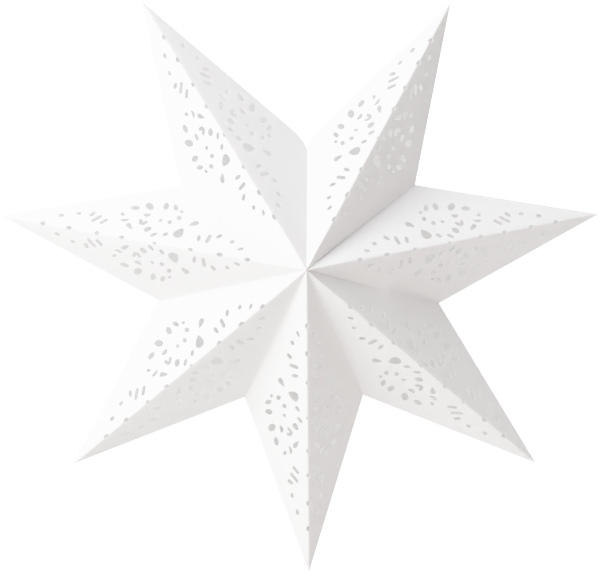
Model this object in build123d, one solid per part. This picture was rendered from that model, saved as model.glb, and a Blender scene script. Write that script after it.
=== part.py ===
from build123d import *
import os
from math import copysign, cos, hypot, pi, radians, sin

# Star, seen from the front along +Y, hanging by its closing seam with one point straight down
point_count = 7
point_reach = 300.0  # centre to the tip of a point
valley_reach = 141.0  # centre to the outer end of a glued valley
seam_reach = 128.0  # centre to the outer end of the closing seam
nose_depth = 95.0  # mid-plane to the front nose, and to the back nose
seam_angle = 60.0  # between the two points beside the closing seam
nose_gap = 2.0  # axis to the trimmed noses of the points

# Folded sheet
sheet = 0.4
flange_width = 10.0  # flange folded in along each valley
flange_end = 18.0  # valley left free of flange at each of its ends
fold_lip = 1.2  # folded edge where the flange has ended
notch_leg = 16.0  # corners beside the seam's outer end, rounded off to let the lamp cord in

# Die-cut holes: length and width
eye_size = (13.2, 10.2)
eye_taper = 0.35  # share of the width lost at the tail, and gained at the round end
drop_size = (9.9, 5.4)
drop_taper = 0.5
arch_size = (9.2, 6.6)
arch_leg = 3.0
arch_notch = 3.2  # how deep the arch is open between its legs
bean_size = (8.0, 4.2)
bean_bend = 1.2
petal_size = (9.6, 4.9)
leaf_size = (9.6, 6.8)
oval_size = (6.9, 4.4)
dot_size = (5.2, 3.9)
slit_size = (10.8, 3.5)
ridge_hole_size = (5.6, 3.9)

# Clips that grip the two loose flanges of the closing seam
clip_length = 24.0
clip_wall = 0.5
clip_grip = 8.0  # how far the clip's legs reach over the flanges
clip_root_gap = 0.3  # flange edges to the clip's root

# Where the holes lie on a half facet: share of the ridge from nose to tip, share of the
# facet's width from ridge to valley, and lean towards the ridge in degrees
eyes = [(0.429, 0.206, 73)]
drops = [(0.397, 0.389, 222), (0.588, 0.172, -38)]
arches = [(0.554, 0.266, -8)]
beans = [(0.613, 0.264, 15), (0.552, 0.405, 12)]
petals = [(0.362, 0.176, -78), (0.475, 0.607, -62), (0.507, 0.600, -76)]
leaves = [(0.529, 0.176, 50), (0.557, 0.554, -48), (0.599, 0.486, 5)]
ovals = [(0.303, 0.262, 57), (0.468, 0.145, 55), (0.503, 0.108, 48), (0.721, 0.268, 72), (0.816, 0.160, 0)]
dots = [(0.223, 0.125, 30), (0.257, 0.213, 60), (0.450, 0.444, -60), (0.472, 0.350, -70)]
dots += [(0.503, 0.352, 80), (0.451, 0.554, -40), (0.629, 0.351, -38), (0.765, 0.242, 0)]
slits = [(0.332, 0.194, 88), (0.675, 0.179, 51), (0.702, 0.205, 52)]
ridge_holes = (0.190, 0.279, 0.373, 0.490, 0.598, 0.680, 0.774, 0.861)

pitch = (360.0 - seam_angle) / (point_count - 1)
tip = Vector(point_reach, 0, 0)
front_nose = Vector(0, -nose_depth, 0)
back_nose = Vector(0, nose_depth, 0)


# One point lies along +X, with its width along Z and its depth along Y
def valley_end(angle_between, reach, side):
    half = radians(angle_between / 2)
    return Vector(reach * cos(half), 0, side * reach * sin(half))


def facet_plane(nose, valley):
    ridge = tip - nose
    normal = ridge.cross(valley - nose)
    if normal.dot(nose) < 0:
        normal = -normal
    return Plane(origin=nose, x_dir=ridge, z_dir=normal)


def side_plane(valley):
    normal = Vector(0, 1, 0).cross(valley)
    if normal.dot(tip) > 0:
        normal = -normal
    return Plane(origin=(0, 0, 0), x_dir=valley, z_dir=normal)


def keep_behind(planes):
    body = Box(4 * point_reach, 4 * point_reach, 4 * point_reach)
    for plane in planes:
        body = split(body, bisect_by=plane, keep=Keep.BOTTOM)
    return body


# A point on the radial side: distance from the nose along the fold, and inset from the fold
def on_side(reach, distance, inset):
    fold = hypot(reach, nose_depth)
    out = (distance * reach - inset * nose_depth) / fold
    depth = (distance * nose_depth + inset * reach) / fold - nose_depth
    return out, depth


# The open side of a point, which leaves a flange with sloping ends along each fold
def side_window(valley):
    reach = valley.length
    fold = hypot(reach, nose_depth)
    front = [
        on_side(reach, fold_lip * nose_depth / reach, fold_lip),
        on_side(reach, flange_end, fold_lip),
        on_side(reach, flange_end + flange_width, flange_width),
        on_side(reach, fold - flange_end - flange_width, flange_width),
        on_side(reach, fold - flange_end, fold_lip),
    ]
    corner = on_side(reach, fold - fold_lip * reach / nose_depth, fold_lip)
    back = [(out, -depth) for out, depth in reversed(front)]
    opening = Polygon(*front, corner, *back, align=None)
    return extrude(side_plane(valley) * opening, amount=2 * sheet, both=True)


# A hole with flat sides and about the area of the oval of that size, tapered towards its
# first corner, and bent so that its ends point away from the ridge
def oval_corners(size, corners, taper=0.0, bend=0.0):
    spread = (2 * pi / (corners * sin(2 * pi / corners))) ** 0.5
    outline = []
    for corner in range(corners):
        turn = pi + 2 * pi * corner / corners
        x, y = cos(turn), sin(turn) * (1 + taper * cos(turn))
        outline.append((spread * size[0] / 2 * x, spread * size[1] / 2 * y + bend * (x * x - 0.5)))
    return outline


# A horseshoe with its round side towards the ridge
def arch_corners():
    length, width = arch_size
    turns = [pi * corner / 4 for corner in range(5)]
    outer = [(length / 2 * cos(turn), width * (0.5 - sin(turn))) for turn in turns]
    gap = length / 2 - arch_leg
    return outer + [(-gap, width / 2), (0, width / 2 - arch_notch), (gap, width / 2)]


def slit_corners():
    length, width = slit_size
    return [(x * length / 2, y * width / 2) for x, y in ((1, 1), (-1, 1), (-1, -1), (1, -1))]


def facet_holes(valley):
    plane = facet_plane(front_nose, valley)
    ridge = (tip - front_nose).length
    width = plane.to_local_coords(valley).Y
    hand = copysign(1, width)
    outlines = []
    pattern = [
        (oval_corners(eye_size, 9, taper=eye_taper), eyes),
        (oval_corners(drop_size, 7, taper=drop_taper), drops),
        (arch_corners(), arches),
        (oval_corners(bean_size, 6, bend=bean_bend), beans),
        (oval_corners(petal_size, 4), petals),
        (oval_corners(leaf_size, 6), leaves),
        (oval_corners(oval_size, 4), ovals),
        (oval_corners(dot_size, 4), dots),
        (slit_corners(), slits),
    ]
    for corners, places in pattern:
        outline = Polygon(*[(x, hand * y) for x, y in corners], align=None)
        for along, across, lean in places:
            outlines.append(plane * Pos(along * ridge, across * width) * Rot(0, 0, -hand * lean) * outline)
    return extrude(Sketch() + outlines, amount=2 * sheet, both=True)


def ridge_cuts():
    ridge = tip - front_nose
    plane = Plane(origin=front_nose, x_dir=ridge, z_dir=Vector(nose_depth, -point_reach, 0))
    outline = Polygon(*oval_corners(ridge_hole_size, 4), align=None)
    outlines = [plane * Pos(along * ridge.length, 0) * outline for along in ridge_holes]
    return extrude(Sketch() + outlines, amount=ridge_hole_size[1], both=True)


# The rounded corner of one facet beside the seam's outer end
def cord_notch(nose, valley):
    plane = facet_plane(nose, valley)
    corner = plane.to_local_coords(valley)
    to_tip = (plane.to_local_coords(tip) - corner).normalized()
    to_nose = (plane.to_local_coords(nose) - corner).normalized()
    bisector = (to_tip + to_nose).normalized()
    lean = bisector.dot(to_tip)
    radius = notch_leg * (1 - lean**2) ** 0.5 / lean
    start = corner + to_tip * notch_leg
    end = corner + to_nose * notch_leg
    cut = Polygon(*[(p.X, p.Y) for p in (start, corner - bisector * notch_leg, end)], align=None)
    middle = corner + bisector * (notch_leg / lean)
    cut -= Pos(middle.X, middle.Y) * Circle(radius)
    return extrude(plane * cut, amount=3 * fold_lip, both=True)


def star_point(left, right):
    facets = [facet_plane(nose, valley) for nose in (front_nose, back_nose) for valley in (left, right)]
    sides = [side_plane(valley) for valley in (left, right)]
    trim = Plane(origin=(nose_gap, 0, 0), x_dir=(0, 1, 0), z_dir=(-1, 0, 0))
    body = keep_behind(facets + sides + [trim])
    body -= keep_behind([plane.offset(-sheet) for plane in facets + sides])
    body -= [side_window(left), side_window(right)]
    return body - [facet_holes(left), facet_holes(right), ridge_cuts()]


def seam_clip():
    fold = hypot(seam_reach, nose_depth)
    along = Vector(0, nose_depth, seam_reach) / fold
    middle = front_nose + along * (fold / 2)
    across = Plane(origin=middle, x_dir=(1, 0, 0), z_dir=along)
    start = flange_width - clip_grip
    root = flange_width + clip_root_gap
    back = root + clip_wall
    outer = Pos(0, (start + back) / 2) * Rectangle(2 * (sheet + clip_wall), back - start)
    inner = Pos(0, (start + root) / 2) * Rectangle(2 * sheet, root - start)
    return extrude(across * (outer - inner), amount=clip_length / 2, both=True)


left_valley = valley_end(pitch, valley_reach, 1)
right_valley = valley_end(pitch, valley_reach, -1)
left_seam = valley_end(seam_angle, seam_reach, 1)
right_seam = valley_end(seam_angle, seam_reach, -1)

middle_point = star_point(left_valley, right_valley)
first_point = star_point(left_seam, right_valley)
first_point -= [cord_notch(nose, left_seam) for nose in (front_nose, back_nose)]
last_point = star_point(left_valley, right_seam)
last_point -= [cord_notch(nose, right_seam) for nose in (front_nose, back_nose)]

# The seam's outer end, where the cord comes in, is the origin
hang = Pos(0, 0, -seam_reach)
nodes = {}
for index in range(point_count):
    point = first_point if index == 0 else last_point if index == point_count - 1 else middle_point
    bearing = 90 - seam_angle / 2 - index * pitch
    nodes[f"star_point_{index + 1}"] = hang * Rot(0, -bearing, 0) * point
front_clip = seam_clip()
nodes["seam_clip_front"] = hang * front_clip
nodes["seam_clip_back"] = hang * mirror(front_clip, about=Plane.XZ)

os.makedirs("parts", exist_ok=True)
for name, solid in nodes.items():
    export_step(solid, f"parts/{name}.step")
    print(name, round(solid.volume, 1), len(solid.solids()))
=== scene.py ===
import math
import random

import bmesh
import bpy
from mathutils import Matrix, Vector, noise
from mathutils.geometry import delaunay_2d_cdt


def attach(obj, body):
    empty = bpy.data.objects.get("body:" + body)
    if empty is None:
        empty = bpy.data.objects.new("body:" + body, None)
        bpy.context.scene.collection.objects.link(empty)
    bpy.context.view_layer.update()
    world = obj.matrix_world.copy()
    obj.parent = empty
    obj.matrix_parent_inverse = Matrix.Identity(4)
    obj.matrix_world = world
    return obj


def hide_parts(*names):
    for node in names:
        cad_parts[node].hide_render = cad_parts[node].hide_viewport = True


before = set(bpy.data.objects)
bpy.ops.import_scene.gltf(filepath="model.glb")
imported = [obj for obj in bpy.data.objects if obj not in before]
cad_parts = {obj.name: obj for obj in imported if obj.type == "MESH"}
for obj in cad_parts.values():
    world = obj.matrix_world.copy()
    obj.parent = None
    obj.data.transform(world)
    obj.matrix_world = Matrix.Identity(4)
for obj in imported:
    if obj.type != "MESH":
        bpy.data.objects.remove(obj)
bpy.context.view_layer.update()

mm = 0.001  # the star is laid out in millimetres and written to the meshes in metres

# Star: seven folded points round one axis, seen from the front along +Y, hung by the seam at the top
star = {
    "points": 7,
    "reach": 300.0,        # centre to the tip of a point
    "valleyReach": 141.0,  # centre to the outer end of a valley
    "seamReach": 128.0,    # centre to the outer end of the closing seam
    "noseDepth": 95.0,     # mid-plane to the nose, front and back
    "seamAngle": 60.0,     # between the two points beside the seam
    "noseTrim": 0.8,       # noses of the points cut short of the axis
    "sheet": 0.4,
}

# A star pulled open by hand never stands true: each corner leans a little, right and up
handLean = {
    "tip": {1: (-1.0, 0.1), 2: (-0.5, -1.7), 3: (1.0, -3.8), 4: (3.7, -3.0),
            5: (2.0, 1.5), 6: (0.0, 1.8), 7: (-5.2, 3.5)},
    "valley": {1: (-3.0, 0.0), 2: (-0.8, 0.0), 3: (-0.4, 0.9), 4: (1.5, 0.4),
               5: (-5.3, 5.3), 6: (-3.3, 0.8), 7: (6.0, -4.0)},
    "nose": (0.7, -0.6),
}

front, back = -1, 1
seam = star["points"]
pitch = (360.0 - star["seamAngle"]) / (star["points"] - 1)
centre = Vector((0, 0, -star["seamReach"]))
noseLean = Vector((handLean["nose"][0], 0, handLean["nose"][1]))
noses = {
    front: centre + Vector((0, -star["noseDepth"], 0)) + noseLean,
    back: centre + Vector((0, star["noseDepth"], 0)),
}


def starCorner(reach, turns, lean):
    angle = math.radians(90 - star["seamAngle"] / 2 - turns * pitch)
    return centre + Vector((reach * math.cos(angle) + lean[0], 0, reach * math.sin(angle) + lean[1]))


tips = {k: starCorner(star["reach"], k - 1, handLean["tip"][k]) for k in range(1, star["points"] + 1)}
valleys = {k: starCorner(star["valleyReach"], k - 0.5, handLean["valley"][k]) for k in range(1, seam)}
valleys[seam] = Vector((handLean["valley"][seam][0], 0, handLean["valley"][seam][1]))


# One half of a folded point: hand 1 lies towards the next valley clockwise, -1 towards the one before
def layFacet(point, hand, face):
    valleyNumber = point if hand > 0 else (point - 2) % star["points"] + 1
    nose, tip, valley = noses[face], tips[point], valleys[valleyNumber]
    along = (tip - nose).normalized()
    reachOut = valley - nose
    across = (reachOut - along * reachOut.dot(along)).normalized()
    normal = along.cross(across)
    if normal.y * face < 0:
        normal.negate()
    return {
        "point": point, "hand": hand, "face": face, "valley": valleyNumber,
        "nose": nose, "along": along, "across": across, "normal": normal,
        "length": (tip - nose).length,
        "corner": Vector((reachOut.dot(along), reachOut.dot(across))),
    }


facets = {
    (point, hand, face): layFacet(point, hand, face)
    for point in range(1, star["points"] + 1) for hand in (-1, 1) for face in (front, back)
}
for key, facet in facets.items():
    point, hand, face = key
    neighbour = (facet["valley"] % star["points"] + 1, -1, face) if hand > 0 else (facet["valley"], 1, face)
    facet["valleyUp"] = (facet["normal"] + facets[neighbour]["normal"]).normalized()
    facet["ridgeUp"] = (facet["normal"] + facets[point, -hand, face]["normal"]).normalized()
print("star laid out:", len(facets), "facets")

# Folds: how soft each valley is, and how far the sheet bows between its folds
folds = {
    "softValley": {1: 3.0, 2: 15.0, 3: 6.0, 4: 5.0, 5: 3.0, 6: 3.0, seam: 0.0},
    "softBack": 5.0,
    # glue starts short of the nose: gap between neighbours there, and share of the valley it reaches
    "noseGap": {1: (1.8, 0.50), 2: (0.8, 0.12), 3: (0.1, 0.1), 4: (0.2, 0.1), 5: (0.1, 0.1),
                6: (0.1, 0.1), seam: (0.1, 0.1)},
    "openValley": {1: 0.6},  # valley whose glue has let go a little all along
    "openEase": 0.3,      # the less, the later that opening closes towards the outer end
    "softEase": 0.7,      # the less, the sooner a valley turns soft from either end
    "dent": {1: (2.5, 0.8), 2: (6.0, 0.6)},  # valley pressed in: depth, and share of its length
    "dentWidth": 22.0,
    "ridgeRound": 1.1,    # width of the rounding on each facet
    "ridgeFade": 14.0,    # the rounding dies out towards nose and tip
    "bow": (-0.5, 1.1),   # least and most, outwards at a facet's middle
    "wave": 0.14,         # slow waviness of the sheet
    "waveSize": 24.0,
    "waveShift": 5.0,     # from sheet to sheet, so that no two wave alike
    "flangeWidth": 10.0,
    "flangeEnds": (18.0, 18.0),  # valley left free of flange at the nose and at its outer end
    "lip": 1.2,           # folded edge where the flange has ended
    "glueLine": 0.04,     # flange to the plane between two neighbours
    "notchEdge": 21.0,    # corners beside the seam's outer end, rounded for the lamp cord
    "notchSeam": 13.0,
    "gapWidth": 5.0,      # width of facet that gives way beside a gap
    "tipTaper": 9.0,      # the sheet is pressed thin over the last of a tip
    "tipThin": 0.04,      # share of the thickness left at the tip itself
    "thickLimit": 2.0,    # holds the thickness back where edges are short
    "sharpAngle": 32.0,   # folds steeper than this are shaded sharp
    "weldSteps": 200,     # corners that round to the same 200th of a millimetre are one
    "seed": 7,
}
bowDraw = random.Random(folds["seed"])
for key in sorted(facets):
    facets[key]["bow"] = bowDraw.uniform(*folds["bow"])

# Die-cut holes of a front facet by kind: place along the ridge and across the facet as shares,
# lean towards the ridge in degrees, length and width
pattern = {
    "eye": [(0.429, 0.206, 73, 13.2, 10.2)],
    "drop": [(0.397, 0.389, 222, 10.3, 6.3), (0.588, 0.172, -38, 10.6, 5.1)],
    "arch": [(0.554, 0.266, -8, 9.8, 7.0)],
    "bean": [(0.613, 0.264, 15, 8.8, 3.9), (0.552, 0.405, 12, 7.6, 4.9)],
    "petal": [(0.362, 0.176, -78, 9.0, 4.2), (0.475, 0.607, -62, 9.5, 4.8), (0.507, 0.600, -76, 10.5, 6.0)],
    "oval": [(0.303, 0.262, 57, 7.2, 4.4), (0.468, 0.145, 55, 6.6, 4.6), (0.503, 0.108, 48, 7.8, 4.2),
             (0.529, 0.176, 50, 8.2, 6.6), (0.557, 0.554, -48, 11.5, 7.2), (0.599, 0.486, 5, 9.2, 6.3),
             (0.721, 0.268, 72, 7.6, 4.9), (0.816, 0.160, 0, 6.3, 4.9)],
    "dot": [(0.223, 0.125, 30, 6.3, 3.7), (0.257, 0.213, 60, 5.1, 4.6), (0.450, 0.444, -60, 6.5, 4.8),
            (0.472, 0.350, -70, 5.8, 4.7), (0.503, 0.352, 80, 4.8, 3.8), (0.451, 0.554, -40, 4.6, 3.5),
            (0.629, 0.351, -38, 5.7, 3.7), (0.765, 0.242, 0, 5.7, 4.3)],
    "slit": [(0.332, 0.194, 88, 11.2, 4.1), (0.675, 0.179, 51, 9.6, 4.3), (0.702, 0.205, 52, 12.4, 4.3)],
}
# Holes across the front ridge: share of the ridge, length, and half width on each facet
ridgeHoles = [(0.190, 6.0, 2.6), (0.279, 6.6, 2.8), (0.373, 5.4, 2.3), (0.490, 4.2, 1.8),
              (0.598, 5.6, 2.5), (0.680, 5.2, 2.6), (0.774, 6.2, 2.9), (0.861, 5.8, 3.0)]
# Where the die fell on each sheet: out along the ridge, and clockwise across it
cutSlip = {1: (-1.7, -2.0), 2: (-4.0, 0.7), 3: (-2.0, 1.0), 4: (-4.0, 1.3), 5: (-2.5, -1.7),
           6: (-0.6, 1.5), 7: (0.4, 1.5)}
# How each kind of hole departs from an oval, and how finely it is drawn
holeForm = {
    # how much the tail narrows, and the greatest half width that leaves
    "taper": {"eye": (0.30, 0.754), "drop": (0.36, 0.718)},
    "beanBend": 0.15,             # rise of a bean's ends as a share of its length
    "petalPoint": 0.35,           # the more, the sharper a petal's ends
    "slitSquare": (0.45, 0.60),   # the less, the squarer a slit's ends and sides
    "archOpening": (0.12, 0.42),  # half width and height of an arch's opening as shares of the arch
    "steps": {"eye": 30, "drop": 26, "arch": 16, "bean": 22,
              "petal": 20, "oval": 20, "dot": 16, "slit": 20},
    "ridgeSteps": 9,
}


# Outline of a hole about its own middle, its length along x and its round end ahead
def holeShape(kind, length, width):
    steps = holeForm["steps"][kind]
    if kind == "arch":
        return archShape(length, width, steps)
    shape = []
    for i in range(steps):
        turn = 2 * math.pi * i / steps
        x, y = math.cos(turn), math.sin(turn)
        bend = 0.0
        if kind in holeForm["taper"]:
            tail, height = holeForm["taper"][kind]
            y *= (1 - tail + tail * x) / height
        elif kind == "bean":
            bend = holeForm["beanBend"] * length * (x * x - 0.5)
        elif kind == "petal":
            y *= abs(y) ** holeForm["petalPoint"]
        elif kind == "slit":
            x = math.copysign(abs(x) ** holeForm["slitSquare"][0], x)
            y = math.copysign(abs(y) ** holeForm["slitSquare"][1], y)
        shape.append((x * length / 2, y * width / 2 + bend))
    return shape


# A horseshoe with its round side towards the ridge
def archShape(length, width, steps):
    shape = []
    for reach, height in ((-0.5, 1.0), holeForm["archOpening"]):  # outside, then back round the opening
        for i in range(steps + 1):
            turn = math.pi * i / steps
            shape.append((reach * length * math.cos(turn), width * (0.5 - height * math.sin(turn))))
    return shape


def ridgeCuts(facet):
    slip = cutSlip[facet["point"]][0]
    return [(share * facet["length"] + slip, length / 2, halfWidth)
            for share, length, halfWidth in ridgeHoles]


def facetHoles(facet):
    holes = []
    alongSlip, clockwiseSlip = cutSlip[facet["point"]]
    slip = Vector((alongSlip, clockwiseSlip * facet["hand"]))
    for kind, rows in pattern.items():
        for alongShare, acrossShare, lean, length, width in rows:
            middle = Vector((alongShare * facet["length"], acrossShare * facet["corner"].y)) + slip
            turn = Matrix.Rotation(-math.radians(lean), 2)
            loop = [middle + turn @ Vector(p) for p in holeShape(kind, length, width)]
            holes.append({"loop": loop, "middle": middle, "turn": turn, "half": (length / 2, width / 2)})
    for place, half, halfWidth in ridgeCuts(facet):
        middle = Vector((place, 0))
        arc = [math.pi * i / holeForm["ridgeSteps"] for i in range(1, holeForm["ridgeSteps"])]
        loop = [middle + Vector((half * math.cos(a), halfWidth * math.sin(a))) for a in arc]
        loop = [middle + Vector((half, 0))] + loop + [middle - Vector((half, 0))]
        holes.append({"loop": loop, "middle": middle, "turn": Matrix.Identity(2),
                      "half": (half, halfWidth)})
    return holes


# How closely a facet is meshed, in millimetres on the flat sheet
meshing = {
    "foldStep": 4.0,           # along ridge and valley
    "edgeStep": 5.0,           # along the outer edge
    "notchSteps": 10,
    "ridgeRows": (0.55, 1.1),  # rows of points beside the ridge, and their spacing
    "ridgeStep": 4,
    "valleyRows": (1.2, 2.8, 4.8, 7.2, 10.0, 13.2, 17.0, 21.5),
    "valleyStep": 5,
    "rowEnds": 8,              # rows keep this far from nose and tip
    "valleyEnd": 2,
    "cell": (7, 6.1),          # staggered grid on the flat, and where it starts
    "cellStart": (4, 4.5),
    "clear": (0.8, 1.6, 0.4),  # grid kept off valley, outer edge and ridge
    "clearNotch": 26,
    "clearHole": 0.9,
    "weld": 1e-4,
}
insideLoops = 1  # the triangulation keeps only what lies inside a loop


def stepsBetween(start, end, spacing):
    count = max(1, round((end - start).length / spacing))
    return [start.lerp(end, i / count) for i in range(count)]


# Outline of a facet on the flat: ridge from nose to tip, outer edge, then back along the valley
def facetOutline(facet):
    nose, tip, corner = Vector((0, 0)), Vector((facet["length"], 0)), facet["corner"]
    trim = star["noseTrim"]
    ridgeStart = Vector((trim, 0))
    valleyStart = corner.normalized() * trim
    edgeEnd, valleyEnd = corner, corner
    turn = []
    if facet["valley"] == seam:
        edgeEnd = corner + (tip - corner).normalized() * folds["notchEdge"]
        valleyEnd = corner + (nose - corner).normalized() * folds["notchSeam"]
        for i in range(meshing["notchSteps"]):
            share = i / meshing["notchSteps"]
            turn.append(edgeEnd.lerp(corner, share).lerp(corner.lerp(valleyEnd, share), share))
    outline = []
    lastEnd = ridgeStart
    for middle, half, halfWidth in ridgeCuts(facet) if facet["face"] == front else ():
        holeStart = Vector((middle - half, 0))
        outline += stepsBetween(lastEnd, holeStart, meshing["foldStep"]) + [holeStart]
        lastEnd = Vector((middle + half, 0))
    outline += stepsBetween(lastEnd, tip, meshing["foldStep"])
    outline += stepsBetween(tip, edgeEnd, meshing["edgeStep"])
    outline += turn
    valleyLine = stepsBetween(valleyEnd, valleyStart, meshing["foldStep"]) + [valleyStart]
    return outline + valleyLine, valleyLine


def nearHole(spot, hole):
    local = hole["turn"].inverted() @ (spot - hole["middle"])
    halfLength, halfWidth = (half + meshing["clearHole"] for half in hole["half"])
    return (local.x / halfLength) ** 2 + (local.y / halfWidth) ** 2 < 1


# Points inside a facet, close together where it bends and wider apart on the flat
def facetGrid(facet, holes):
    corner, length = facet["corner"], facet["length"]
    down = corner.normalized()
    inward = Vector((down.y, -down.x))
    start, ridgeEnd = meshing["rowEnds"], int(length) - meshing["rowEnds"]
    valleyEnd = int(corner.length) - meshing["valleyEnd"]
    grid = []
    for row in meshing["ridgeRows"]:
        grid += [Vector((s, row)) for s in range(start, ridgeEnd, meshing["ridgeStep"])]
    for row in meshing["valleyRows"]:
        grid += [down * s + inward * row for s in range(start, valleyEnd, meshing["valleyStep"])]
    cellLength, cellWidth = meshing["cell"]
    firstX, firstY = meshing["cellStart"]
    for i in range(int(length / cellLength)):
        for j in range(int(corner.y / cellWidth)):
            stagger = cellLength / 2 * (j % 2)
            grid.append(Vector((firstX + cellLength * i + stagger, firstY + cellWidth * j)))
    clearValley, clearEdge, clearRidge = meshing["clear"]
    kept = []
    for spot in grid:
        fromValley = spot.dot(inward)
        overEdge = (length - spot.x) * corner.y - (length - corner.x) * spot.y
        edgeGap = overEdge / math.hypot(corner.y, length - corner.x)
        if fromValley < clearValley or edgeGap < clearEdge or spot.y < clearRidge:
            continue
        if facet["valley"] == seam and (spot - corner).length < meshing["clearNotch"]:
            continue
        if not any(nearHole(spot, hole) for hole in holes):
            kept.append(spot)
    return kept


# How deep a valley is pressed in, at a share of its length from the nose
def dentDepth(facet, share):
    if facet["face"] == back or facet["valley"] not in folds["dent"]:
        return 0.0
    depth, reach = folds["dent"][facet["valley"]]
    part = min(1.0, share / reach)
    return depth * 4 * part * (1 - part)  # full depth half way


# A spot on the flat facet, carried to its place on the standing star
def standSpot(facet, spot):
    corner, length = facet["corner"], facet["length"]
    place = facet["nose"] + facet["along"] * spot.x + facet["across"] * spot.y
    valleyLength = corner.length
    fromValley = (spot.x * corner.y - spot.y * corner.x) / valleyLength
    share = min(1.0, max(0.0, spot.dot(corner) / valleyLength ** 2))
    soft = folds["softValley"][facet["valley"]] if facet["face"] == front else folds["softBack"]
    if facet["valley"] == seam:
        soft = 0.0
    soft *= math.sin(math.pi * share) ** folds["softEase"]
    if facet["face"] == front:
        gap, gapReach = folds["noseGap"][facet["valley"]]
        opened = folds["openValley"].get(facet["valley"], 0.0) * (1 - share) ** folds["openEase"]
        gap = max(gap * (1 - share / gapReach), opened)
        give = max(0.0, 1 - fromValley / folds["gapWidth"]) ** 2
        place = place - facet["across"] * (gap / 2 * give)
        pressed = max(0.0, 1 - fromValley / folds["dentWidth"]) ** 2
        place = place - facet["valleyUp"] * (dentDepth(facet, share) * pressed)
    lean = facet["normal"].angle(facet["valleyUp"])
    outward = max(0.0, fromValley * math.cos(lean))
    if outward < soft:
        place = place + facet["valleyUp"] * (math.tan(lean) * (soft - outward) ** 2 / (2 * soft))
    width = folds["ridgeRound"]
    if spot.y < width:
        fade = min(1.0, spot.x / folds["ridgeFade"], (length - spot.x) / folds["ridgeFade"])
        slope = math.tan(facet["normal"].angle(facet["ridgeUp"]))
        place = place - facet["ridgeUp"] * (fade * slope * (width - spot.y) ** 2 / (2 * width))
    toValley = spot.y / corner.y
    toTip = (spot.x - toValley * corner.x) / length
    bubble = max(0.0, 27 * toValley * toTip * (1 - toValley - toTip))  # 1 in the middle, 0 along the folds
    ripple = noise.noise(place / folds["waveSize"] + Vector((0, 0, folds["waveShift"] * facet["point"])))
    ripple *= folds["wave"] * min(1.0, 2 * bubble)
    return place + facet["normal"] * (facet["bow"] * bubble + ripple)


class FoldedSheet:
    def __init__(self):
        self.mesh = bmesh.new()
        self.known = {}

    def vertex(self, place):
        key = tuple(round(c * folds["weldSteps"]) for c in place)
        if key not in self.known:
            self.known[key] = self.mesh.verts.new(place * mm)
        return self.known[key]

    def face(self, places, outside):
        a, b, c = places
        if (b - a).cross(c - a).dot(outside) < 0:
            places = (a, c, b)
        corners = [self.vertex(p) for p in places]
        if len(set(corners)) == 3 and self.mesh.faces.get(corners) is None:
            self.mesh.faces.new(corners)


def addFacet(sheet, facet):
    outline, valleyLine = facetOutline(facet)
    holes = facetHoles(facet) if facet["face"] == front else []
    flat, loops = [], []
    for loop in [outline] + [hole["loop"] for hole in holes]:
        loops.append(list(range(len(flat), len(flat) + len(loop))))
        flat += loop
    flat += facetGrid(facet, holes)
    spots, _, triangles, _, _, origins = delaunay_2d_cdt(flat, [], loops, insideLoops, meshing["weld"])
    standing = [standSpot(facet, spot) for spot in spots]
    for triangle, origin in zip(triangles, origins):
        if origin == [0]:
            sheet.face(tuple(standing[i] for i in triangle), facet["normal"])
    addFlange(sheet, facet, valleyLine)


# The strip folded in along a valley, glued to its neighbour's or clipped at the seam
def addFlange(sheet, facet, valleyLine):
    down = (facet["along"] * facet["corner"].x + facet["across"] * facet["corner"].y).normalized()
    inward = Vector((0, -facet["face"], 0))
    inward = (inward - down * inward.dot(down)).normalized()
    side = down.cross(inward)
    if side.dot(facet["across"]) < 0:
        side.negate()
    total = facet["corner"].length
    rows = []
    for spot in valleyLine:
        distance = spot.length
        width = min(distance - folds["flangeEnds"][0], total - distance - folds["flangeEnds"][1])
        width = min(folds["flangeWidth"], max(folds["lip"], width))
        edge = facet["nose"] + facet["along"] * spot.x + facet["across"] * spot.y
        foot = edge - side * folds["glueLine"] - facet["valleyUp"] * dentDepth(facet, distance / total)
        rows.append((standSpot(facet, spot), foot + inward * (width / 2), foot + inward * width))
    for one, two in zip(rows, rows[1:]):
        for i in range(2):
            sheet.face((one[i], two[i], two[i + 1]), side)
            sheet.face((one[i], two[i + 1], one[i + 1]), side)


def linkObject(name, mesh):
    made = bpy.data.objects.new(name, mesh)
    bpy.context.scene.collection.objects.link(made)
    return made


def meshOf(name, work):
    mesh = bpy.data.meshes.new(name)
    work.to_mesh(mesh)
    work.free()
    return mesh


# The folded sheet given its thickness, inwards from the outer face
def thicken(made, thickness, tip):
    full = made.vertex_groups.new(name="fullThickness")
    for vertex in made.data.vertices:
        fromTip = (vertex.co / mm - tip).length
        full.add([vertex.index], min(1.0, max(folds["tipThin"], fromTip / folds["tipTaper"])), "REPLACE")
    solid = made.modifiers.new("thickness", "SOLIDIFY")
    solid.vertex_group = full.name
    solid.thickness = thickness * mm
    solid.offset = -1
    solid.use_even_offset = True
    solid.use_quality_normals = True
    solid.thickness_clamp = folds["thickLimit"]
    thick = bpy.data.meshes.new_from_object(made.evaluated_get(bpy.context.evaluated_depsgraph_get()))
    made.modifiers.clear()
    made.vertex_groups.clear()
    old = made.data
    made.data = thick
    bpy.data.meshes.remove(old)
    thick.shade_smooth()
    thick.set_sharp_from_angle(angle=math.radians(folds["sharpAngle"]))


def newMaterial(name):
    material = bpy.data.materials.new(name)
    material.use_nodes = True
    nodes = material.node_tree.nodes
    nodes.clear()
    return material, nodes, material.node_tree.links


def noiseOfSize(nodes, size, detail):
    texture = nodes.new("ShaderNodeTexNoise")
    texture.inputs["Scale"].default_value = 1 / (size * mm)
    texture.inputs["Detail"].default_value = detail
    return texture


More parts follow.
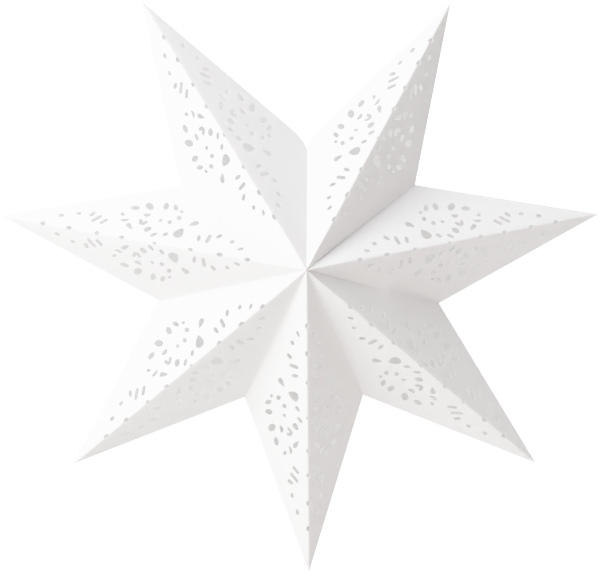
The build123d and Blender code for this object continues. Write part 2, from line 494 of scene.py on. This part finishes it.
def bumpOfDepth(nodes, depth, strength):
    bump = nodes.new("ShaderNodeBump")
    bump.inputs["Distance"].default_value = depth * mm
    bump.inputs["Strength"].default_value = strength
    return bump


def roughBetween(nodes, finish):
    roughness = nodes.new("ShaderNodeMapRange")
    less, more = finish["roughSpread"]
    roughness.inputs["To Min"].default_value = finish["rough"] - less
    roughness.inputs["To Max"].default_value = finish["rough"] + more
    return roughness


# White lantern paper: matt, faintly clouded, and it lets some light through
paper = {
    "dark": (0.935, 0.934, 0.933, 1),
    "light": (0.965, 0.964, 0.963, 1),
    "through": (0.96, 0.956, 0.953, 1),
    "passes": 0.48,        # share of the light that goes through each skin of the sheet
    "rough": 0.62,
    "roughSpread": (0.06, 0.14),
    "gloss": 0.22,
    "clouds": (11.0, 5),   # size in millimetres and detail
    "cloudEnds": (0.32, 0.68),
    "fibres": (0.45, 3),
    "fibreTwist": 1.5,
    "fibreBump": (0.1, 0.09),   # depth in millimetres and strength
    "cockle": (9.0, 2),
    "cockleBump": (0.6, 0.10),
}


def paperMaterial():
    material, nodes, links = newMaterial("lanternPaper")
    output = nodes.new("ShaderNodeOutputMaterial")
    blend = nodes.new("ShaderNodeMixShader")
    surface = nodes.new("ShaderNodeBsdfPrincipled")
    through = nodes.new("ShaderNodeBsdfTranslucent")
    place = nodes.new("ShaderNodeTexCoord")
    clouds = noiseOfSize(nodes, *paper["clouds"])
    fibres = noiseOfSize(nodes, *paper["fibres"])
    cockle = noiseOfSize(nodes, *paper["cockle"])
    tone = nodes.new("ShaderNodeValToRGB")
    cockleBump = bumpOfDepth(nodes, *paper["cockleBump"])
    fibreBump = bumpOfDepth(nodes, *paper["fibreBump"])
    roughness = roughBetween(nodes, paper)
    fibres.inputs["Distortion"].default_value = paper["fibreTwist"]
    for texture in (clouds, fibres, cockle):
        links.new(place.outputs["Object"], texture.inputs["Vector"])
    for end, position, shade in zip(tone.color_ramp.elements, paper["cloudEnds"], ("dark", "light")):
        end.position = position
        end.color = paper[shade]
    links.new(clouds.outputs["Fac"], tone.inputs["Fac"])
    links.new(tone.outputs["Color"], surface.inputs["Base Color"])
    links.new(fibres.outputs["Fac"], roughness.inputs["Value"])
    links.new(roughness.outputs["Result"], surface.inputs["Roughness"])
    surface.inputs["Specular IOR Level"].default_value = paper["gloss"]
    links.new(cockle.outputs["Fac"], cockleBump.inputs["Height"])
    links.new(fibres.outputs["Fac"], fibreBump.inputs["Height"])
    links.new(cockleBump.outputs["Normal"], fibreBump.inputs["Normal"])
    links.new(fibreBump.outputs["Normal"], surface.inputs["Normal"])
    links.new(fibreBump.outputs["Normal"], through.inputs["Normal"])
    through.inputs["Color"].default_value = paper["through"]
    blend.inputs["Fac"].default_value = paper["passes"]
    links.new(surface.outputs["BSDF"], blend.inputs[1])
    links.new(through.outputs["BSDF"], blend.inputs[2])
    links.new(blend.outputs["Shader"], output.inputs["Surface"])
    return material


# Spring steel strip of the clips, rolled along its length
clipSteel = {
    "dark": (0.36, 0.36, 0.37, 1),
    "light": (0.58, 0.57, 0.56, 1),
    "rough": 0.30,
    "roughSpread": (0.08, 0.12),
    "grain": (0.25, 4),           # size in millimetres and detail
    "stretch": (1.0, 0.06, 0.06),
    "grainBump": (0.05, 0.12),    # depth in millimetres and strength
}


def clipSteelMaterial():
    material, nodes, links = newMaterial("clipSpringSteel")
    output = nodes.new("ShaderNodeOutputMaterial")
    surface = nodes.new("ShaderNodeBsdfPrincipled")
    place = nodes.new("ShaderNodeTexCoord")
    stretch = nodes.new("ShaderNodeMapping")
    grain = noiseOfSize(nodes, *clipSteel["grain"])
    tone = nodes.new("ShaderNodeValToRGB")
    roughness = roughBetween(nodes, clipSteel)
    bump = bumpOfDepth(nodes, *clipSteel["grainBump"])
    stretch.inputs["Scale"].default_value = clipSteel["stretch"]
    links.new(place.outputs["Object"], stretch.inputs["Vector"])
    links.new(stretch.outputs["Vector"], grain.inputs["Vector"])
    tone.color_ramp.elements[0].color = clipSteel["dark"]
    tone.color_ramp.elements[1].color = clipSteel["light"]
    links.new(grain.outputs["Fac"], tone.inputs["Fac"])
    links.new(tone.outputs["Color"], surface.inputs["Base Color"])
    surface.inputs["Metallic"].default_value = 1.0
    links.new(grain.outputs["Fac"], roughness.inputs["Value"])
    links.new(roughness.outputs["Result"], surface.inputs["Roughness"])
    links.new(grain.outputs["Fac"], bump.inputs["Height"])
    links.new(bump.outputs["Normal"], surface.inputs["Normal"])
    links.new(surface.outputs["BSDF"], output.inputs["Surface"])
    return material


def dress(piece, material, node):
    piece.data.materials.clear()
    piece.data.materials.append(material)
    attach(piece, "root")
    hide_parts(node)


lanternPaper = paperMaterial()
for point in range(1, star["points"] + 1):
    sheet = FoldedSheet()
    for hand in (-1, 1):
        for face in (front, back):
            addFacet(sheet, facets[point, hand, face])
    node = f"star_point_{point}"
    piece = linkObject(f"foldedPoint{point}", meshOf(node + "Sheet", sheet.mesh))
    thicken(piece, star["sheet"], tips[point])
    dress(piece, lanternPaper, node)
    print("folded point", point, "has", len(piece.data.polygons), "faces")

# Spring clips over the two loose flanges of the seam: a strip bent to a U
clip = {
    "length": 24.0,
    "wall": 0.5,
    "grip": 8.0,      # how far the legs reach over the flanges
    "rootGap": 0.3,   # flange edges to the root
    "room": 0.06,     # between flanges and legs
    "rootSteps": 6,
    "bevel": 0.12,
    "bevelSteps": 2,
    "bevelAngle": 50.0,
}


def clipProfile():
    inner = star["sheet"] + clip["room"]
    outer = inner + clip["wall"]
    start = folds["flangeWidth"] - clip["grip"]
    rise = clip["rootGap"] / 2
    bend = folds["flangeWidth"] + rise
    arc = [math.pi * i / clip["rootSteps"] for i in range(clip["rootSteps"] + 1)]
    lines = []
    for half, height in ((outer, clip["wall"] + rise), (inner, rise)):
        root = [Vector((half * math.cos(a), bend + height * math.sin(a))) for a in arc]
        lines.append([Vector((half, start))] + root + [Vector((-half, start))])
    return lines[0] + lines[1][::-1]


def bendClip(face):
    down = (valleys[seam] - noses[face]).normalized()
    inward = Vector((0, -face, 0))
    inward = (inward - down * inward.dot(down)).normalized()
    side = down.cross(inward)
    middle = (valleys[seam] + noses[face]) / 2
    work = bmesh.new()
    ring = []
    for end in (-1, 1):
        base = middle + down * (end * clip["length"] / 2)
        ring.append([work.verts.new((base + side * p.x + inward * p.y) * mm) for p in clipProfile()])
    count = len(ring[0])
    for i in range(count):
        j = (i + 1) % count
        work.faces.new((ring[0][i], ring[0][j], ring[1][j], ring[1][i]))
    half = count // 2
    for line in ring:
        for i in range(half - 1):
            work.faces.new((line[i], line[i + 1], line[count - 2 - i], line[count - 1 - i]))
    bmesh.ops.recalc_face_normals(work, faces=work.faces)
    return work


springSteel = clipSteelMaterial()
for face, end in ((front, "Front"), (back, "Back")):
    node = "seam_clip_" + end.lower()
    piece = linkObject("springClip" + end, meshOf(node + "Strip", bendClip(face)))
    edge = piece.modifiers.new("softEdges", "BEVEL")
    edge.width = clip["bevel"] * mm
    edge.segments = clip["bevelSteps"]
    edge.limit_method = "ANGLE"
    edge.angle_limit = math.radians(clip["bevelAngle"])
    dress(piece, springSteel, node)
print("seam clips bent")

# Film: light in, and how bright it is shown, so that lit paper stays just short of the white behind it
film = {
    "white": 2.6,
    "response": [(0.5, 0.5), (0.7, 0.686), (0.9, 0.817), (1.1, 0.913),
                 (1.35, 0.970), (1.7, 0.980), (2.1, 0.988)],
}


def setFilm():
    view = bpy.context.scene.view_settings
    view.view_transform = "Standard"
    view.use_curve_mapping = True
    view.curve_mapping.white_level = (film["white"],) * 3
    view.curve_mapping.extend = "HORIZONTAL"
    curve = view.curve_mapping.curves[3]  # all three colours together
    for lightIn, shown in film["response"]:
        curve.points.new(lightIn / film["white"], shown)
    for point in curve.points:
        point.handle_type = "AUTO_CLAMPED"
    view.curve_mapping.update()


# Stage, in metres: pale floor well below the hanging star, white all round
stage = {
    "floorDrop": 2.3,
    "floorRadius": 6.6,
    "floorFade": 2.6,      # radius at which the floor begins to fade out
    "floorColor": (0.90, 0.90, 0.89, 1),
    "floorRough": 0.8,
    "floorSides": 96,
    "domeRadius": 14.0,
    "domeSteps": 4,
}


def floorMaterial():
    material, nodes, links = newMaterial("paleFloor")
    output = nodes.new("ShaderNodeOutputMaterial")
    surface = nodes.new("ShaderNodeBsdfPrincipled")
    clear = nodes.new("ShaderNodeBsdfTransparent")
    blend = nodes.new("ShaderNodeMixShader")
    place = nodes.new("ShaderNodeTexCoord")
    distance = nodes.new("ShaderNodeVectorMath")
    fade = nodes.new("ShaderNodeMapRange")
    distance.operation = "LENGTH"
    fade.interpolation_type = "SMOOTHSTEP"
    fade.inputs["From Min"].default_value = stage["floorFade"]
    fade.inputs["From Max"].default_value = stage["floorRadius"]
    links.new(place.outputs["Object"], distance.inputs[0])
    links.new(distance.outputs["Value"], fade.inputs["Value"])
    links.new(fade.outputs["Result"], blend.inputs["Fac"])
    surface.inputs["Base Color"].default_value = stage["floorColor"]
    surface.inputs["Roughness"].default_value = stage["floorRough"]
    links.new(surface.outputs["BSDF"], blend.inputs[1])
    links.new(clear.outputs["BSDF"], blend.inputs[2])
    links.new(blend.outputs["Shader"], output.inputs["Surface"])
    return material


def backdropMaterial():
    material, nodes, links = newMaterial("whiteSurround")
    output = nodes.new("ShaderNodeOutputMaterial")
    glow = nodes.new("ShaderNodeEmission")
    glow.inputs["Color"].default_value = (1, 1, 1, 1)
    glow.inputs["Strength"].default_value = film["white"]
    links.new(glow.outputs["Emission"], output.inputs["Surface"])
    return material


work = bmesh.new()
bmesh.ops.create_circle(work, cap_ends=True, segments=stage["floorSides"], radius=stage["floorRadius"])
floor = linkObject("floor", meshOf("floorDisc", work))
floor.location = (0, 0, -stage["floorDrop"])
floor.data.materials.append(floorMaterial())
work = bmesh.new()
bmesh.ops.create_icosphere(work, subdivisions=stage["domeSteps"], radius=stage["domeRadius"])
surround = linkObject("surround", meshOf("surroundDome", work))
surround.data.materials.append(backdropMaterial())
for seen in ("diffuse", "glossy", "transmission", "volume_scatter", "shadow"):
    setattr(surround, "visible_" + seen, False)  # only the camera sees it

# Light, in metres: white surroundings that fall away to a dim room at the right of the camera and are
# a little dimmer behind on the left, two broad soft lights from the left and a weak warm one from below
light = {
    "skyLevel": 1.185,
    "skyOpen": (1, 1, 1, 1),
    "dims": [              # where the sky dims: towards, how far round it starts as a cosine, and colour
        (Vector((0.72, -0.58, -0.38)), -0.35, (0.247, 0.224, 0.245, 1)),
        (Vector((-0.75, 0.65, -0.1)), -0.2, (0.78, 0.78, 0.78, 1)),
    ],
    "lamps": {             # place, size, power and colour
        "keyLight": (Vector((-1.1, -1.0, 0.45)), 0.9, 24.95, (1, 1, 1)),
        "topLight": (Vector((-0.9, -0.6, 1.0)), 0.8, 4.17, (1, 1, 1)),
        "lowLight": (Vector((0.2, -0.8, -0.8)), 0.7, 1.75, (1, 0.858, 0.71)),
    },
}
mixFrom, mixTo, mixResult = 6, 7, 2  # colour sockets of a mix node


def studioSky():
    world = bpy.data.worlds.new("studioSky")
    world.use_nodes = True
    nodes, links = world.node_tree.nodes, world.node_tree.links
    sky = nodes["Background"]
    direction = nodes.new("ShaderNodeTexCoord")
    lastTone = None
    for towards, edge, color in light["dims"]:
        facing = nodes.new("ShaderNodeVectorMath")
        spread = nodes.new("ShaderNodeMapRange")
        tone = nodes.new("ShaderNodeMix")
        facing.operation = "DOT_PRODUCT"
        facing.inputs[1].default_value = towards.normalized()
        spread.interpolation_type = "SMOOTHSTEP"
        spread.inputs["From Min"].default_value = edge
        tone.data_type = "RGBA"
        tone.inputs[mixFrom].default_value = light["skyOpen"]
        tone.inputs[mixTo].default_value = color
        links.new(direction.outputs["Generated"], facing.inputs[0])
        links.new(facing.outputs["Value"], spread.inputs["Value"])
        links.new(spread.outputs["Result"], tone.inputs["Factor"])
        if lastTone:
            links.new(lastTone.outputs[mixResult], tone.inputs[mixFrom])
        lastTone = tone
    links.new(lastTone.outputs[mixResult], sky.inputs["Color"])
    sky.inputs["Strength"].default_value = light["skyLevel"]
    bpy.context.scene.world = world


def softLight(name, fromPlace, size, power, color):
    lamp = bpy.data.lights.new(name, "AREA")
    lamp.shape = "DISK"
    lamp.size = size
    lamp.energy = power
    lamp.color = color
    made = linkObject(name, lamp)
    made.location = fromPlace
    made.rotation_euler = (centre * mm - fromPlace).to_track_quat("-Z", "Y").to_euler()


studioSky()
for name, settings in light["lamps"].items():
    softLight(name, *settings)

# Camera: where the picture was taken from, as angles about the star and a distance
shot = {
    "azimuth": 1.93,
    "elevation": 1.49,
    "roll": -0.54,
    "distance": 2000.0,
    "target": Vector((-2.4, 0, -146.5)),
    "lens": 121.44,
    "sensor": 36.0,
    "farthest": 100.0,  # metres
}


def placeCamera():
    azimuth, elevation, roll = (math.radians(shot[a]) for a in ("azimuth", "elevation", "roll"))
    ahead = Vector((math.sin(azimuth) * math.cos(elevation), math.cos(azimuth) * math.cos(elevation),
                    -math.sin(elevation)))
    right = Vector((math.cos(azimuth), -math.sin(azimuth), 0))
    up = right.cross(ahead)
    right, up = right * math.cos(roll) + up * math.sin(roll), up * math.cos(roll) - right * math.sin(roll)
    camera = bpy.data.cameras.new("shotCamera")
    camera.sensor_fit = "HORIZONTAL"
    camera.sensor_width = shot["sensor"]
    camera.lens = shot["lens"]
    camera.clip_end = shot["farthest"]
    made = linkObject("shotCamera", camera)
    turned = Matrix((right, up, -ahead)).transposed().to_4x4()
    turned.translation = (shot["target"] - ahead * shot["distance"]) * mm
    made.matrix_world = turned
    bpy.context.scene.camera = made


placeCamera()
setFilm()
print("stage, light and camera set")
